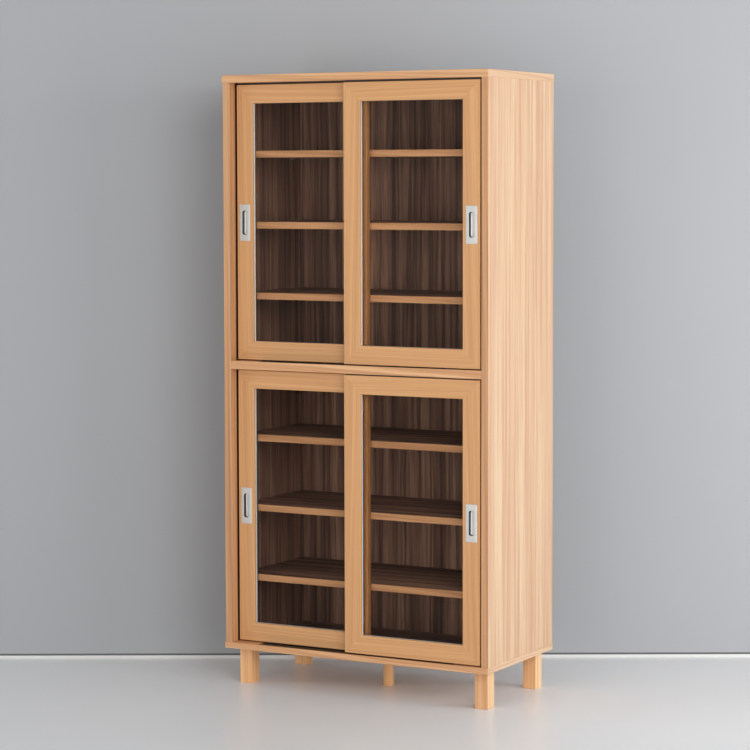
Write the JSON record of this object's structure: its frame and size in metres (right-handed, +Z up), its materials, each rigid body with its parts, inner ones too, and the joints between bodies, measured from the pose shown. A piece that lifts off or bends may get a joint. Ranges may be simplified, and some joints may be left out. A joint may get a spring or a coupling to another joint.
{
  "type": "kitchen cabinet with sliding glazed doors",
  "caption": "Tall free-standing wooden kitchen cabinet in two stacked bays, each closed by a pair of glazed doors that slide past each other over adjustable shelves.",
  "frame": {"origin": "on the floor, under the middle of the cabinet's outer box", "axes": "+X to the right as seen from the front, +Y to the back, +Z up; the doors face -Y"},
  "size_m": [0.868, 0.433, 1.8],
  "materials": {
    "carcass_wood": "satin clear-coated light wood with vertical staves; dark walnut veneer on the faces inside the bays",
    "leg_wood": "satin clear-coated light wood",
    "door_wood": "satin clear-coated light wood with fine straight grain",
    "shelf_board": "satin walnut veneer with a light wood front edge",
    "walnut_sheet": "satin walnut veneer, grain upright",
    "pane_glass": "clear polished",
    "glazing_vinyl": "matt white",
    "satin_metal": "satin",
    "track_plastic": "matt dark brown",
    "housing_plastic": "matt dark brown",
    "roller_nylon": "smooth off-white",
    "nickel": "nickel plated",
    "steel": "zinc plated"
  },
  "bodies": {
    "cabinet": {"bottom_board": "carcass_wood", "middle_board": "carcass_wood", "top_board": "carcass_wood", "left_side_panel": "carcass_wood", "right_side_panel": "carcass_wood", "back_panel": "walnut_sheet", "lower_shelf_1": "shelf_board", "lower_shelf_2": "shelf_board", "lower_shelf_3": "shelf_board", "upper_shelf_1": "shelf_board", "upper_shelf_2": "shelf_board", "upper_shelf_3": "shelf_board", "shelf_pins": "nickel", "front_left_leg": "leg_wood", "front_right_leg": "leg_wood", "back_left_leg": "leg_wood", "back_right_leg": "leg_wood", "centre_leg": "leg_wood", "leg_bolts": "steel", "door_tracks": "track_plastic"},
    "lower_left_door": {"lower_left_door_left_stile": "door_wood", "lower_left_door_right_stile": "door_wood", "lower_left_door_top_rail": "door_wood", "lower_left_door_bottom_rail": "door_wood", "lower_left_door_glass": "pane_glass", "lower_left_door_glazing_channel": "glazing_vinyl", "lower_left_door_pull": "satin_metal", "lower_left_door_roller_housings": "housing_plastic"},
    "lower_right_door": {"lower_right_door_left_stile": "door_wood", "lower_right_door_right_stile": "door_wood", "lower_right_door_top_rail": "door_wood", "lower_right_door_bottom_rail": "door_wood", "lower_right_door_glass": "pane_glass", "lower_right_door_glazing_channel": "glazing_vinyl", "lower_right_door_pull": "satin_metal", "lower_right_door_roller_housings": "housing_plastic"},
    "upper_left_door": {"upper_left_door_left_stile": "door_wood", "upper_left_door_right_stile": "door_wood", "upper_left_door_top_rail": "door_wood", "upper_left_door_bottom_rail": "door_wood", "upper_left_door_glass": "pane_glass", "upper_left_door_glazing_channel": "glazing_vinyl", "upper_left_door_pull": "satin_metal", "upper_left_door_roller_housings": "housing_plastic"},
    "upper_right_door": {"upper_right_door_left_stile": "door_wood", "upper_right_door_right_stile": "door_wood", "upper_right_door_top_rail": "door_wood", "upper_right_door_bottom_rail": "door_wood", "upper_right_door_glass": "pane_glass", "upper_right_door_glazing_channel": "glazing_vinyl", "upper_right_door_pull": "satin_metal", "upper_right_door_roller_housings": "housing_plastic"},
    "lower_left_door_left_roller": {"lower_left_door_left_roller": "roller_nylon"},
    "lower_left_door_right_roller": {"lower_left_door_right_roller": "roller_nylon"},
    "lower_right_door_left_roller": {"lower_right_door_left_roller": "roller_nylon"},
    "lower_right_door_right_roller": {"lower_right_door_right_roller": "roller_nylon"},
    "upper_left_door_left_roller": {"upper_left_door_left_roller": "roller_nylon"},
    "upper_left_door_right_roller": {"upper_left_door_right_roller": "roller_nylon"},
    "upper_right_door_left_roller": {"upper_right_door_left_roller": "roller_nylon"},
    "upper_right_door_right_roller": {"upper_right_door_right_roller": "roller_nylon"}
  },
  "joints": [
    {"name": "lower_left_door_slide", "type": "slide", "parent": "cabinet", "child": "lower_left_door", "axis": [1, 0, 0], "range_m": [0, 0.375]},
    {"name": "lower_right_door_slide", "type": "slide", "parent": "cabinet", "child": "lower_right_door", "axis": [-1, 0, 0], "range_m": [0, 0.375]},
    {"name": "upper_left_door_slide", "type": "slide", "parent": "cabinet", "child": "upper_left_door", "axis": [1, 0, 0], "range_m": [0, 0.375]},
    {"name": "upper_right_door_slide", "type": "slide", "parent": "cabinet", "child": "upper_right_door", "axis": [-1, 0, 0], "range_m": [0, 0.375]},
    {"name": "lower_left_door_left_roller_spin", "type": "hinge", "parent": "lower_left_door", "child": "lower_left_door_left_roller", "pos_m": [-0.31, -0.1705, 0.1347], "axis": [0, 1, 0], "range_deg": [0, 2389]},
    {"name": "lower_left_door_right_roller_spin", "type": "hinge", "parent": "lower_left_door", "child": "lower_left_door_right_roller", "pos_m": [-0.065, -0.1705, 0.1347], "axis": [0, 1, 0], "range_deg": [0, 2389]},
    {"name": "lower_right_door_left_roller_spin", "type": "hinge", "parent": "lower_right_door", "child": "lower_right_door_left_roller", "pos_m": [0.065, -0.1995, 0.1347], "axis": [0, -1, 0], "range_deg": [0, 2389]},
    {"name": "lower_right_door_right_roller_spin", "type": "hinge", "parent": "lower_right_door", "child": "lower_right_door_right_roller", "pos_m": [0.31, -0.1995, 0.1347], "axis": [0, -1, 0], "range_deg": [0, 2389]},
    {"name": "upper_left_door_left_roller_spin", "type": "hinge", "parent": "upper_left_door", "child": "upper_left_door_left_roller", "pos_m": [-0.31, -0.1705, 0.9707], "axis": [0, 1, 0], "range_deg": [0, 2389]},
    {"name": "upper_left_door_right_roller_spin", "type": "hinge", "parent": "upper_left_door", "child": "upper_left_door_right_roller", "pos_m": [-0.065, -0.1705, 0.9707], "axis": [0, 1, 0], "range_deg": [0, 2389]},
    {"name": "upper_right_door_left_roller_spin", "type": "hinge", "parent": "upper_right_door", "child": "upper_right_door_left_roller", "pos_m": [0.065, -0.1995, 0.9707], "axis": [0, -1, 0], "range_deg": [0, 2389]},
    {"name": "upper_right_door_right_roller_spin", "type": "hinge", "parent": "upper_right_door", "child": "upper_right_door_right_roller", "pos_m": [0.31, -0.1995, 0.9707], "axis": [0, -1, 0], "range_deg": [0, 2389]}
  ],
  "couplings": [
    {"joint": "lower_left_door_left_roller_spin", "follows": "lower_left_door_slide", "rad_per_m": 111.11},
    {"joint": "lower_left_door_right_roller_spin", "follows": "lower_left_door_slide", "rad_per_m": 111.11},
    {"joint": "lower_right_door_left_roller_spin", "follows": "lower_right_door_slide", "rad_per_m": 111.11},
    {"joint": "lower_right_door_right_roller_spin", "follows": "lower_right_door_slide", "rad_per_m": 111.11},
    {"joint": "upper_left_door_left_roller_spin", "follows": "upper_left_door_slide", "rad_per_m": 111.11},
    {"joint": "upper_left_door_right_roller_spin", "follows": "upper_left_door_slide", "rad_per_m": 111.11},
    {"joint": "upper_right_door_left_roller_spin", "follows": "upper_right_door_slide", "rad_per_m": 111.11},
    {"joint": "upper_right_door_right_roller_spin", "follows": "upper_right_door_slide", "rad_per_m": 111.11}
  ]
}
